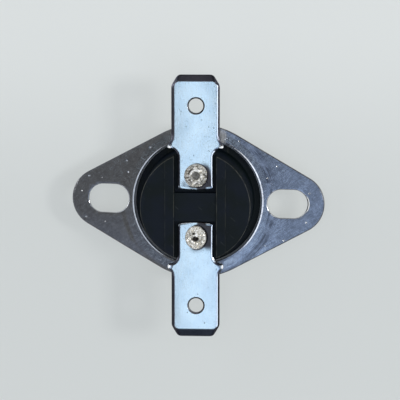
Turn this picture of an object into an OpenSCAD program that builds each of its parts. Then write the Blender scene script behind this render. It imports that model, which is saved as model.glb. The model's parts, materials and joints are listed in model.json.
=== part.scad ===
// Snap-action disc thermostat with two push-on terminals and a loose two-ear bracket.
// Millimetres. The sensing face lies on z = 0, centred on the origin, +Z points to the
// terminals, and the bracket's two slots lie along X. The body can turn in its bracket.

/* [Stance] */
// Turn of the body and its terminals inside the loose bracket, in degrees
body_turn = 1.5; // [-180:0.1:180]

/* [Bracket] */
// Width of metal beside the hole, across the middle
rim_w = 1.8; // [1.2:0.05:2.5]
// Radius of each ear's end
ear_r = 4; // [3.6:0.1:4.4]
// Width of metal between a slot and the ear's tip
ear_margin = 2.25; // [1.5:0.025:3]
// Sheet thickness of the bracket
bracket_t = 0.5; // [0.45:0.05:0.7]
// Width of metal between the hole and a slot, which sets the slot pitch of 23.8
slot_web = 0.775; // [0.6:0.025:2]
// Width of a slot
slot_w = 3.8; // [3.2:0.1:4]
// Length of a slot, end to end
slot_l = 5.35; // [4.6:0.05:5.6]
// How far the bracket's hole stands back from the lip's opening
hole_play = 0.15; // [0.05:0.05:0.4]
// Radius of the bead raised round that hole
bead_r = 0.22; // [0.15:0.01:0.3]
// Height of that bead above the sheet
bead_raise = 0.12; // [0.05:0.01:0.14]
// Height of the pressed ring above the ears
ring_raise = 0.05; // [0.02:0.01:0.5]
// Width of the pressed ring
ring_w = 1.2; // [1:0.05:1.6]
// Width of the slope from the ring down to the ears
ring_slope_w = 0.9; // [0.4:0.05:1.2]
// Play between the bracket and the cap's lip
bracket_play = 0.1; // [0.05:0.05:0.3]

/* [Sensing cap] */
// Width of the ledge that carries the base
ledge_w = 1.2; // [1:0.05:1.5]
// Sheet thickness of the cap
cap_t = 0.5; // [0.4:0.05:0.55]
// Height of that ledge's upper face
ledge_z = 2.4; // [2.3:0.1:2.8]
// Outside radius of the cup's bottom edge
cup_edge_r = 0.7; // [0.55:0.05:0.9]
// How far the lip is rolled in over the base's flange
lip_reach = 0.3; // [0.2:0.05:0.7]
// Thickness of the rolled lip
lip_t = 0.4; // [0.3:0.05:0.5]

/* [Base] */
// Diameter across the lands at the top
body_d = 14.4; // [13:0.1:16]
// Thickness of the side wall at the top
wall_t = 0.8; // [0.7:0.05:1]
// Height of the lands above the sensing face
body_h = 11.2; // [11:0.1:12]
// Draft of the side wall, in degrees
body_draft = 2.3; // [1:0.1:3]
// How far the base's flange stands out beyond the lands
flange_w = 1.35; // [1.2:0.05:1.6]
// Thickness of the base's flange
flange_t = 0.9; // [0.8:0.05:1.1]
// Radius of the lands' outer edge
land_edge_r = 0.1; // [0.05:0.05:0.3]
// Gap between a terminal's neck and each side of its channel
channel_play = 0.45; // [0.2:0.05:0.6]
// Depth of the channel below the lands
channel_depth = 1.6; // [1.4:0.1:1.7]
// Width of the rib on each side of the channel
rib_w = 1.2; // [0.8:0.1:1.4]
// Height of the ribs above the lands
rib_raise = 0.15; // [0.1:0.05:0.3]
// Gap between the bridge and the end of each terminal
bridge_gap = 0.35; // [0.2:0.05:0.6]
// Drop of the bridge below the lands
bridge_drop = 0.1; // [0.05:0.05:0.3]
// Thickness of the roof between the channel and the hollow
roof_t = 1.6; // [1.4:0.1:1.7]

/* [Terminals] */
// Length of the straight tab beyond the wings
tab_l = 8.35; // [7.5:0.05:10]
// Width of a push-on tab
tab_w = 6.3; // [6.1:0.1:6.4]
// Thickness of the terminal sheet
tab_t = 0.8; // [0.7:0.05:0.9]
// Width of the cut corners across the tab
tab_corner_w = 0.85; // [0.6:0.05:1.1]
// Length of the cut corners along the tab
tab_corner_l = 1.4; // [1.1:0.1:1.8]
// Width of the bevel along the tab's sides
tab_side_bevel = 0.42; // [0.2:0.02:0.5]
// Length of the lead-in bevel at the tab's tip
tab_tip_bevel = 1.04; // [0.6:0.02:1.2]
// Depth of the bevels on each face
tab_bevel_depth = 0.2; // [0.1:0.02:0.28]
// Diameter of the hole in the tab
tab_hole_d = 2; // [1.6:0.1:2.2]
// Distance of that hole from the tab's tip
tab_hole_inset = 4.1; // [3.6:0.1:4.6]
// Chamfer of that hole on each face
tab_hole_chamfer = 0.18; // [0.05:0.01:0.25]
// How far each wing stands out beside the tab, to stop the terminal against the base
wing_reach = 0.49; // [0.3:0.01:0.6]
// Distance of the wings from the body's wall
wing_stand = 0.45; // [0.3:0.05:0.7]
// Length of a wing along the terminal
wing_l = 1.2; // [1:0.1:1.5]
// Width of the terminal's neck inside the channel
neck_w = 4.6; // [4.2:0.1:4.8]
// Radius of the hollow corner between neck and wing
wing_fillet = 1.25; // [0.9:0.05:1.25]
// Distance of the terminal's inner end from its rivet
neck_end = 1.85; // [1.7:0.05:2]
// Bulge of the terminal's rounded inner end
neck_bulge = 0.15; // [0.05:0.05:0.3]

/* [Rivets] */
// Distance of each rivet from the hollow's wall
rivet_inset = 2.35; // [2.3:0.05:2.5]
// Diameter of a rivet's shank
shank_d = 1.9; // [1.6:0.1:2]
// Diameter of the rolled head
rivet_head_d = 3.1; // [2.8:0.1:3.2]
// Height of the rolled head above the terminal
rivet_head_h = 0.5; // [0.4:0.05:0.6]
// Diameter of the rivet's open bore
rivet_bore_d = 1.1; // [0.8:0.05:1.2]
// Thickness of the flat head inside the base
rivet_foot_t = 0.45; // [0.35:0.05:0.5]

/* [Contacts] */
// Thickness of the contact spring
spring_t = 0.2; // [0.15:0.01:0.25]
// Width of the contact spring
spring_w = 3; // [2.6:0.1:3.2]
// Underside of the boss that clamps the spring, above the sensing face
spring_seat_z = 5.9; // [5.8:0.05:6]
// Distance of the boss's free edge from its rivet, where the spring starts to bend
boss_reach = 1.65; // [1.5:0.05:1.8]
// Distance of the contact buttons from the fixed rivet, towards the pin
contact_inset = 0.65; // [0.5:0.05:0.8]
// Diameter of the contact buttons
contact_d = 2.2; // [1.8:0.1:2.4]
// Height of each contact button
contact_h = 0.5; // [0.4:0.05:0.55]
// Thickness of the folded strip under the fixed contact
strip_t = 0.4; // [0.3:0.05:0.45]
// Width of the folded strip
strip_w = 3.2; // [2.8:0.1:3.4]
// Gap left between the closed buttons
contact_gap = 0.03; // [0.02:0.01:0.08]

/* [Disc and pin] */
// Gap between the bimetal disc and the cup's wall
disc_play = 0.25; // [0.1:0.05:0.4]
// Thickness of the bimetal disc
disc_t = 0.25; // [0.2:0.01:0.3]
// Depth of the disc's dish, half of its snap travel
disc_dish = 0.2; // [0.15:0.01:0.24]
// Diameter of the push pin
pin_d = 2.2; // [1.8:0.1:2.4]
// Radius of the pin's domed ends
pin_dome_r = 2; // [1.8:0.1:3]
// Diameter of the boss that guides the pin
guide_boss_d = 4; // [3.6:0.1:4.2]
// Thickness of the guide plate
guide_t = 0.6; // [0.5:0.05:0.7]

/* [Fits] */
// Radial clearance of the sliding pin in its guide
pin_clear = 0.05; // [0.03:0.01:0.08]
// Radial clearance of rivets and buttons in their holes
rivet_clear = 0.05; // [0.02:0.01:0.08]
// Small gap between pieces that only rest on each other
rest_gap = 0.05; // [0.03:0.01:0.06]
// Radial clearance of base and guide plate inside the cap
cap_clear = 0.05; // [0.03:0.01:0.08]

/* [Hidden] */
$fn = 96;
cut = 1;
// Straight edges lie this far inside the rounds that they run into
tuck = 0.01;

// Heights, from the sensing face up
disc_z = cap_t + rest_gap;
disc_rim_z = disc_z + disc_dish;
guide_z = ledge_z;
flange_z = guide_z + guide_t;
flange_top_z = flange_z + flange_t;
lip_z = flange_top_z + lip_t;
ring_z = lip_z + bracket_play;
ear_z = ring_z - ring_raise;
land_z = body_h;
channel_z = land_z - channel_depth;
bridge_z = land_z - bridge_drop;
rib_z = land_z + rib_raise;
ceiling_z = channel_z - roof_t;
terminal_top_z = channel_z + tab_t;
spring_z = spring_seat_z - spring_t;
moving_face_z = spring_z - contact_h;
leg_top_z = moving_face_z - contact_gap - contact_h;
leg_z = leg_top_z - strip_t;
pad_z = ceiling_z - strip_t;
pin_z = disc_z + disc_t + rest_gap;
pin_top_z = spring_z - rest_gap;

// Radii, from the body outwards
land_r = body_d / 2;
foot_r = land_r + (land_z - flange_top_z) * tan(body_draft);
hollow_r = land_r - wall_t;
flange_r = land_r + flange_w;
crimp_in_r = flange_r + cap_clear;
crimp_r = crimp_in_r + cap_t;
crimp_edge_r = lip_t + 0.15;
cup_in_r = crimp_in_r - ledge_w;
cup_r = cup_in_r + cap_t;
lip_r = crimp_in_r - lip_reach;
hole_r = lip_r + hole_play;
ring_r = hole_r + ring_w;
waist_r = hole_r + rim_w;
spigot_r = cup_in_r - 2 * cap_clear;
disc_r = cup_in_r - disc_play;
button_r = contact_d / 2;
button_shank_r = button_r / 2;
rivet_hole_r = shank_d / 2 + rivet_clear;

// Places along the bracket
slot_x = hole_r + slot_web + slot_l / 2;
ear_x = slot_x + slot_l / 2 + ear_margin - ear_r;

// Places along the terminals
rivet_y = hollow_r - rivet_inset;
neck_y = rivet_y - neck_end;
bridge_y = neck_y - bridge_gap;
wing_y = land_r + wing_stand;
tab_y = wing_y + wing_l;
tip_y = tab_y + tab_l;
bend_y = rivet_y - boss_reach;
contact_y = rivet_y - contact_inset;
channel_w = neck_w + 2 * channel_play;
wing_w = tab_w + 2 * wing_reach;
tab_tip_w = tab_w - 2 * tab_corner_w;
strip_back_y = sqrt(pow(hollow_r - 0.15, 2) - pow(strip_w / 2, 2));

// Points of an arc from angle a0 to a1 in n steps
function arc(c, r, a0, a1, n = 6) = [
    for (i = [0 : n]) c + r * [cos(a0 + (a1 - a0) * i / n), sin(a0 + (a1 - a0) * i / n)]
];

// The same points with x negated, in reverse order
function mirrored(points) = [for (i = [len(points) - 1 : -1 : 0]) [-points[i].x, points[i].y]];

// Everything but the bracket turns with the body
module turned() {
    rotate([0, 0, body_turn])
        children();
}

// Upper side of the body as it is, or the same turned half round for the lower side
module side(lower) {
    rotate([0, 0, lower ? 180 : 0])
        children();
}

// A solid of revolution from points of radius and height
module turning(points) {
    rotate_extrude($fn = 96)
        polygon(points);
}

// A flat ring or disc standing on height z
module washer(r, r_in, z, h) {
    translate([0, 0, z])
        difference() {
            cylinder(r = r, h = h);
            translate([0, 0, -cut])
                cylinder(r = r_in, h = h + 2 * cut);
        }
}

// A block centred on x, given by its limits in y and z
module block(w, y0, y1, z0, z1) {
    translate([-w / 2, y0, z0])
        cube([w, y1 - y0, z1 - z0]);
}

// Blank of the bracket: a round waist and two round ears with straight edges between them
module bracket_blank(h) {
    a = acos((waist_r - ear_r) / ear_x);
    normal = [cos(a), sin(a)];
    edge = [(waist_r - tuck) * normal, [ear_x, 0] + (ear_r - tuck) * normal];
    right = concat(edge, [[edge[1].x, -edge[1].y], [edge[0].x, -edge[0].y]]);
    cylinder(r = waist_r, h = h);
    for (s = [-1, 1])
        translate([s * ear_x, 0, 0])
            cylinder(r = ear_r, h = h);
    linear_extrude(height = h)
        polygon(concat(right, [for (p = right) -p]));
}

// One slot, cut through the bracket along X
module slot() {
    half = (slot_l - slot_w) / 2;
    h = bracket_t + ring_raise + 2 * cut;
    translate([-half, -slot_w / 2, 0])
        cube([2 * half, slot_w, h]);
    for (s = [-1, 1])
        translate([s * half, 0, 0])
            cylinder(d = slot_w, h = h);
}

module mounting_bracket() {
    top_z = ring_z + bracket_t;
    lean = bracket_t * tan(atan(ring_raise / ring_slope_w) / 2);
    far_r = ear_x + ear_r + cut;
    sheet = concat(
        [[hole_r, ring_z], [ring_r, ring_z], [ring_r + ring_slope_w, ear_z], [far_r, ear_z]],
        [[far_r, ear_z + bracket_t], [ring_r + ring_slope_w + lean, ear_z + bracket_t]],
        [[ring_r + lean, top_z]],
        arc([hole_r + bead_r, top_z + bead_raise - bead_r], bead_r, asin(1 - bead_raise / bead_r), 180)
    );
    color("silver")
        difference() {
            intersection() {
                turning(sheet);
                translate([0, 0, ear_z - cut])
                    bracket_blank(bracket_t + ring_raise + 2 * cut);
            }
            for (s = [-1, 1])
                translate([s * slot_x, 0, ear_z - cut])
                    slot();
        }
}

module sensing_cap() {
    outside = concat(
        [[0, 0]],
        arc([cup_r - cup_edge_r, cup_edge_r], cup_edge_r, -90, 0),
        [[cup_r, ledge_z - cap_t]],
        arc([crimp_r - cap_t, ledge_z], cap_t, -90, 0),
        arc([crimp_r - crimp_edge_r, lip_z - crimp_edge_r], crimp_edge_r, 0, 90)
    );
    inside = [
        [lip_r, lip_z], [lip_r, flange_top_z], [crimp_in_r, flange_top_z],
        [crimp_in_r, ledge_z], [cup_in_r, ledge_z], [cup_in_r, cap_t], [0, cap_t],
    ];
    color("gainsboro")
        turning(concat(outside, inside));
}

module base_shell() {
    profile = concat(
        [[0, flange_z], [flange_r, flange_z], [flange_r, flange_top_z], [foot_r, flange_top_z]],
        arc([land_r - land_edge_r, land_z - land_edge_r], land_edge_r, 0, 90, 4),
        [[0, land_z]]
    );
    turning(profile);
    intersection() {
        washer(land_r - land_edge_r, 0.1, land_z - cut, cut + rib_raise);
        for (s = [-1, 1])
            translate([s * (channel_w + rib_w) / 2, 0, 0])
                block(rib_w, -land_r, land_r, land_z - cut, rib_z);
    }
}

// Channel for one terminal, with the hole for its rivet
module terminal_channel(lower) {
    side(lower) {
        block(channel_w, bridge_y, foot_r + cut, channel_z, rib_z + cut);
        translate([0, rivet_y, flange_z])
            cylinder(r = rivet_hole_r, h = land_z);
    }
}

// Boss inside the hollow that clamps the contact spring
module spring_boss() {
    block(spring_w + 1.8, -hollow_r - cut, -bend_y, spring_seat_z, ceiling_z + cut);
}

module base() {
    color([0.1, 0.11, 0.13])
        turned()
            difference() {
                base_shell();
                difference() {
                    translate([0, 0, flange_z - cut])
                        cylinder(r = hollow_r, h = ceiling_z - flange_z + cut);
                    spring_boss();
                }
                block(channel_w, -land_r, land_r, bridge_z, rib_z + cut);
                for (lower = [false, true])
                    terminal_channel(lower);
            }
}

// Plan of a terminal from its rounded inner end to the root of its tab
function neck_points() = let(
    half = neck_w / 2,
    corner = 0.4,
    end_half = half - corner,
    end_r = (pow(end_half, 2) + pow(neck_bulge, 2)) / (2 * neck_bulge),
    spread = asin(end_half / end_r)
) concat(
    arc([0, neck_y + end_r], end_r, -90, -90 + spread, 4),
    arc([end_half, neck_y + neck_bulge + corner], corner, -70, 0, 4),
    arc([half + wing_fillet, wing_y - wing_fillet], wing_fillet, 180, 98, 8),
    [[wing_w / 2, wing_y + 0.15], [wing_w / 2, wing_y + wing_l / 2], [tab_w / 2, tab_y]]
);

// Plan of the straight tab, with its sides and tip drawn in by the bevels
function tab_points(side_in, tip_in) = let(
    y0 = tab_y - 0.1,
    y1 = tip_y - tip_in,
    corner_in = side_in * 0.6
) [
    [tab_w / 2 - side_in, y0],
    [tab_w / 2 - side_in, y1 - tab_corner_l + tip_in - corner_in],
    [tab_tip_w / 2 - corner_in + tip_in * 0.35, y1],
];

module tab_plan(side_in = 0, tip_in = 0) {
    right = tab_points(side_in, tip_in);
    polygon(concat(right, mirrored(right)));
}

// The bevelled tab: its full outline at mid thickness, drawn in at both faces
module tab() {
    hull() {
        translate([0, 0, tab_bevel_depth])
            linear_extrude(height = tab_t - 2 * tab_bevel_depth)
                tab_plan();
        linear_extrude(height = tab_t)
            tab_plan(tab_side_bevel, tab_tip_bevel);
    }
}

// Through hole with a chamfer at both faces
module tab_hole() {
    r = tab_hole_d / 2;
    c = tab_hole_chamfer;
    turning([
        [0, -cut], [r + c + cut, -cut], [r + c, 0], [r, c], [r, tab_t - c],
        [r + c, tab_t], [r + c + cut, tab_t + cut], [0, tab_t + cut],
    ]);
}

module terminal(lower) {
    right = neck_points();
    color([0.8, 0.84, 0.88])
        turned()
            side(lower)
                translate([0, 0, channel_z])
                    difference() {
                        union() {
                            linear_extrude(height = tab_t)
                                polygon(concat(right, mirrored(right)));
                            tab();
                        }
                        translate([0, tip_y - tab_hole_inset, 0])
                            tab_hole();
                        translate([0, rivet_y, -cut])
                            cylinder(r = rivet_hole_r, h = tab_t + 2 * cut);
                    }
}

module terminal_upper() {
    terminal(false);
}

module terminal_lower() {
    terminal(true);
}

// Tubular rivet: rolled head on the terminal, flat foot at height foot_z inside the base
module tubular_rivet(lower, foot_z) {
    head_r = rivet_head_d / 2;
    bore_r = rivet_bore_d / 2;
    top_z = terminal_top_z + rivet_head_h;
    roll = rivet_head_h * 0.45;
    outline = concat(
        [[0, foot_z - rivet_foot_t], [head_r - 0.1, foot_z - rivet_foot_t], [head_r - 0.1, foot_z]],
        [[shank_d / 2, foot_z], [shank_d / 2, terminal_top_z], [head_r - 0.1, terminal_top_z]],
        arc([head_r - roll, top_z - roll], roll, 0, 90),
        arc([bore_r + roll, top_z - roll], roll, 90, 180),
        [[bore_r, channel_z], [0, channel_z - bore_r / 2]]
    );
    color([0.75, 0.72, 0.64])
        turned()
            side(lower)
                translate([0, rivet_y, 0])
                    turning(outline);
}

module rivet_upper() {
    tubular_rivet(false, pad_z);
}

module rivet_lower() {
    tubular_rivet(true, spring_z);
}

// Strip folded twice: a pad under the roof, a back wall and a leg below the contacts
module fixed_contact_plate() {
    bend = strip_t + 0.25;
    back = strip_back_y;
    outer = concat(
        [[bend_y, ceiling_z]],
        arc([back - bend, ceiling_z - bend], bend, 90, 0, 5),
        arc([back - bend, leg_z + bend], bend, 0, -90, 5),
        [[contact_y - button_r - 0.2, leg_z]]
    );
    inner = concat(
        [[contact_y - button_r - 0.2, leg_top_z]],
        arc([back - bend, leg_z + bend], bend - strip_t, -90, 0, 5),
        arc([back - bend, ceiling_z - bend], bend - strip_t, 0, 90, 5),
        [[bend_y, pad_z]]
    );
    color("goldenrod")
        turned()
            difference() {
                rotate([90, 0, 90])
                    translate([0, 0, -strip_w / 2])
                        linear_extrude(height = strip_w)
                            polygon(concat(outer, inner));
                translate([0, rivet_y, pad_z - cut])
                    cylinder(r = rivet_hole_r, h = strip_t + 2 * cut);
                translate([0, contact_y, leg_z - cut / 2])
                    cylinder(r = button_shank_r + rivet_clear, h = strip_t + cut);
            }
}

module fixed_contact() {
    crown = 0.12;
    crown_r = (pow(button_r, 2) + pow(crown, 2)) / (2 * crown);
    top_z = leg_top_z + contact_h;
    button = concat(
        [[0, leg_z], [button_shank_r, leg_z], [button_shank_r, leg_top_z], [button_r, leg_top_z]],
        arc([0, top_z - crown_r], crown_r, acos(button_r / crown_r), 90, 5)
    );
    color("whitesmoke")
        turned()
            translate([0, contact_y, 0])
                turning(button);
}

module contact_spring() {
    end_y = contact_y + button_r - spring_w / 2;
    color("peru")
        turned()
            difference() {
                union() {
                    block(spring_w, -rivet_y - spring_w / 2, end_y, spring_z, spring_seat_z);
                    translate([0, end_y, spring_z])
                        cylinder(d = spring_w, h = spring_t);
                }
                translate([0, -rivet_y, spring_z - cut])
                    cylinder(r = rivet_hole_r, h = spring_t + 2 * cut);
                translate([0, contact_y, spring_z - cut])
                    cylinder(r = button_shank_r + rivet_clear, h = spring_t + 2 * cut);
            }
}

module moving_contact() {
    tail = 0.12;
    button = [
        [0, moving_face_z], [button_r, moving_face_z], [button_r, spring_z], [button_shank_r, spring_z],
        [button_shank_r, spring_seat_z], [button_shank_r + 0.2, spring_seat_z],
        [button_shank_r, spring_seat_z + tail], [0, spring_seat_z + tail],
    ];
    color("whitesmoke")
        turned()
            translate([0, contact_y, 0])
                turning(button);
}

module push_pin() {
    mid_z = (pin_z + pin_top_z) / 2;
    color("ivory")
        turned()
            intersection() {
                translate([0, 0, pin_z])
                    cylinder(d = pin_d, h = pin_top_z - pin_z);
                translate([0, 0, pin_top_z - pin_dome_r])
                    union() {
                        sphere(r = pin_dome_r);
                        translate([0, 0, -pin_top_z])
                            cylinder(r = pin_dome_r + 1, h = pin_top_z);
                    }
                translate([0, 0, pin_z + pin_dome_r])
                    union() {
                        sphere(r = pin_dome_r);
                        cylinder(r = pin_dome_r + 1, h = mid_z);
                    }
            }
}

module guide_plate() {
    bore_r = pin_d / 2 + pin_clear;
    spigot_z = disc_rim_z + disc_t + rest_gap;
    boss_z = leg_z - 0.3;
    plate = [
        [bore_r, guide_z - 0.6], [guide_boss_d / 2, guide_z - 0.6], [guide_boss_d / 2, guide_z],
        [hollow_r - 0.1, guide_z], [hollow_r - 0.1, spigot_z], [spigot_r, spigot_z], [spigot_r, guide_z],
        [flange_r, guide_z], [flange_r, flange_z], [guide_boss_d / 2, flange_z],
        [guide_boss_d / 2, boss_z], [bore_r, boss_z],
    ];
    color("saddlebrown")
        turned()
            turning(plate);
}

// Shallow dish, hollow side up, cut from two spheres
module bimetal_disc() {
    dish_r = (pow(disc_r, 2) + pow(disc_dish, 2)) / (2 * disc_dish);
    color("lightsteelblue")
        turned()
            difference() {
                intersection() {
                    translate([0, 0, disc_z + dish_r])
                        sphere(r = dish_r, $fn = 256);
                    translate([0, 0, disc_z - cut])
                        cylinder(r = disc_r, h = disc_dish + disc_t + cut);
                }
                translate([0, 0, disc_z + disc_t + dish_r])
                    sphere(r = dish_r, $fn = 256);
            }
}

mounting_bracket();
sensing_cap();
base();
terminal_upper();
terminal_lower();
rivet_upper();
rivet_lower();
fixed_contact_plate();
fixed_contact();
contact_spring();
moving_contact();
push_pin();
guide_plate();
bimetal_disc();
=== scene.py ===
"""Looks of a bimetal thermostat: plated bracket and terminals, rough rivets, black moulded base."""
import json
import math

import bmesh
import bpy
from mathutils import Matrix, Vector, noise
from mathutils.geometry import delaunay_2d_cdt
from mathutils.kdtree import KDTree


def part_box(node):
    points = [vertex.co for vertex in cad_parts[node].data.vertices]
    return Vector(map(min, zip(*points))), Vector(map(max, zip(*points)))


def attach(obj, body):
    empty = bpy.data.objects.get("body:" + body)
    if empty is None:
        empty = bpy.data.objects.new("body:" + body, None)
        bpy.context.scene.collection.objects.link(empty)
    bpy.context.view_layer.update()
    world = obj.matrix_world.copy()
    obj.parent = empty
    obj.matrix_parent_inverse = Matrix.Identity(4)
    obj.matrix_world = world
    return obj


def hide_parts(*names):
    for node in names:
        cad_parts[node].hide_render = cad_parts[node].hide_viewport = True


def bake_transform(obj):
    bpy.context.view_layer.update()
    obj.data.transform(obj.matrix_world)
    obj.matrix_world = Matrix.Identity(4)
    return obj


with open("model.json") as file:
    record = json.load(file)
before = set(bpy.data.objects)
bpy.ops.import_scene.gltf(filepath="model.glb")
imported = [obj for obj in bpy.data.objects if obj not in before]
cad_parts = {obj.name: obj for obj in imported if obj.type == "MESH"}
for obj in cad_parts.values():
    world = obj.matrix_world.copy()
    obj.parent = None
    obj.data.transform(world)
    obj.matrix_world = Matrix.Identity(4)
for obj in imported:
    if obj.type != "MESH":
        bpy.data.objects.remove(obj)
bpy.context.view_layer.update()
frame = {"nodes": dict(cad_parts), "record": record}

# Lengths in this script are millimetres; meshes are scaled to metres when they are made.
MM = 0.001

# The record gives the mounts, and with them the slots and the body's turn in its bracket.
MOUNTS = {mount["name"]: mount for mount in frame["record"]["mounts"]}
SLOTS = MOUNTS["bracket_slots"]["dims"]
TAB_AXIS = MOUNTS["upper_tab"]["axis"]
BODY_TURN = math.atan2(-TAB_AXIS[0], TAB_AXIS[1])


def box_mm(node):
    """Lowest and highest corner of a CAD node in millimetres."""
    low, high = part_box(node)
    return Vector(low) / MM, Vector(high) / MM


# Bracket
BRACKET_LOW, BRACKET_HIGH = box_mm("mounting_bracket")
BRACKET_T = 0.5
HOLE_R = 8.45
HOLE_EDGE = 0.07
CAD_BEAD_RAISE = 0.12
BEAD_RAISE = 0.052
WAIST_R = BRACKET_HIGH.y
EAR_R = 4.0
EAR_X = BRACKET_HIGH.x - EAR_R
SLOT_X = SLOTS["spacing_x_mm"] / 2
SLOT_R = SLOTS["hole_r_mm"]
SLOT_HALF = SLOTS["slot_length_mm"] / 2 - SLOT_R
RING_TOP_Z = BRACKET_HIGH.z - CAD_BEAD_RAISE
RING_RAISE = RING_TOP_Z - BRACKET_T - BRACKET_LOW.z
RING_R = 9.65
RING_FOOT_R = 10.55
# Width and depth of the stamped edge, and the width of the slots' edges
BRACKET_EDGE = (0.12, 0.1)
SLOT_EDGE = 0.12
# Points round the hole and round the pressed ring, and the steps between their circles from the hole outwards
HOLE_STEPS = 420
RING_STEPS = 240
RING_SPACING = [0.065] + [0.03] * 8 + [0.06, 0.12] + [0.2] * 9
# Scratched patches beside the upper terminal with a painted sheen, pale and dull: centre, reach and how much
SHEEN_SPOTS = (((3.05, 8.75), (0.6, 1.1), 0.42), ((-3.95, 8.7), (0.6, 1.1), 0.12))

# Cap
LIP_Z = box_mm("sensing_cap")[1].z

# Terminals
TERMINAL_TOP_Z = box_mm("terminal_upper")[1].z
TAB_T = 0.8
TAB_W = 6.3
TAB_TIP_Y = math.hypot(*MOUNTS["upper_tab"]["pos_m"][:2]) / MM
TAB_HOLE_Y = math.hypot(*MOUNTS["upper_tab_hole"]["pos_m"][:2]) / MM
TAB_HOLE_BURR = 0.05
TAB_HOLE_R = MOUNTS["upper_tab_hole"]["dims"]["r_mm"] - TAB_HOLE_BURR
TAB_HOLE_CHAMFER = 0.2
TAB_HOLE_SHIFT = 0.06
TAB_ROOT_Y = 8.85
TAB_CORNER = Vector((0.85, 1.4))
TAB_SIDE_BEVEL = 0.42
TAB_TIP_BEVEL = 0.92
LOWER_TIP_BEVEL = 1.04
TAB_CORNER_BEVEL = 0.34
TAB_BEVEL_DEPTH = 0.2
WING_Y = 7.65
WING_W = 7.28
WING_FILLET = 1.25
NECK_W = 4.6
NECK_Y = 2.2
LOWER_NECK_Y = 2.1
NECK_BULGE = 0.15
NECK_CORNER_R = 0.4
NECK_EDGE = 0.3
NECK_EDGE_DEPTH = 0.12
END_EDGE = 0.24
END_EDGE_DEPTH = 0.035
# Burrs on the wings' tips, each with a painted glint, as seen on the upper and on the lower terminal:
# centre and reach in x and y
UPPER_BURR_GLINT = ((WING_W / 2 - 0.2, WING_Y + 0.1), (0.2, 0.2))
LOWER_BURR_GLINT = ((WING_W / 2 - 0.08, WING_Y + 0.3), (0.16, 0.3))

# Base
CHANNEL_HALF = NECK_W / 2 + 0.45
RIB_W = 1.2
BASE_BEVEL = 0.06

# Rivets
RIVET_Y = 4.05
RIVET_HEAD_R = 1.55
RIVET_HEAD_H = 0.5
RIVET_SHANK_R = 0.95
RIVET_HOLE_R = RIVET_SHANK_R + 0.05
RIVET_FOOT_R = RIVET_HEAD_R - 0.1
RIVET_FOOT_T = 0.45
# The heads stand to one side, sink into the terminal and leave room above for crumpled metal; the lower is narrow
RIVET_SHIFT = 0.08
RIVET_SINK = 0.2
RIVET_CRUMPLE = 0.06
LOWER_HEAD_NARROW = 0.92
# Innermost circle of points on a head, the steps between circles and the points on each
RIVET_MIDDLE_R = 0.001
RIVET_STEP = 0.034
RIVET_AROUND = 220
# How far from a rivet's centre towards the tab its painted shade can reach
PAINTED_SHADE_REACH = 2.2

# Contact spring
SPRING_LOW, SPRING_HIGH = box_mm("contact_spring")
SPRING_W = 3.0
SPRING_BACK_GAP = 0.04
# Width and depth of its edges
SPRING_EDGE = (0.03, 0.04)
# Radius of the leaf's hole for its contact
CONTACT_HOLE_R = 0.6


class Value:
    """A shader socket that takes part in Python arithmetic: each operation adds a Math node."""

    def __init__(self, shader, socket):
        self.shader = shader
        self.socket = socket

    def math(self, operation, *values):
        settings = {"operation": operation}
        return self.shader.node("ShaderNodeMath", settings, dict(enumerate(values)))

    def __add__(self, other):
        return self.math("ADD", self, other)

    def __radd__(self, other):
        return self.math("ADD", other, self)

    def __sub__(self, other):
        return self.math("SUBTRACT", self, other)

    def __rsub__(self, other):
        return self.math("SUBTRACT", other, self)

    def __mul__(self, other):
        return self.math("MULTIPLY", self, other)

    def __rmul__(self, other):
        return self.math("MULTIPLY", other, self)

    def __truediv__(self, other):
        return self.math("DIVIDE", self, other)

    def __abs__(self):
        return self.math("ABSOLUTE", self)

    def __pow__(self, other):
        return self.math("POWER", self, other)


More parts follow.
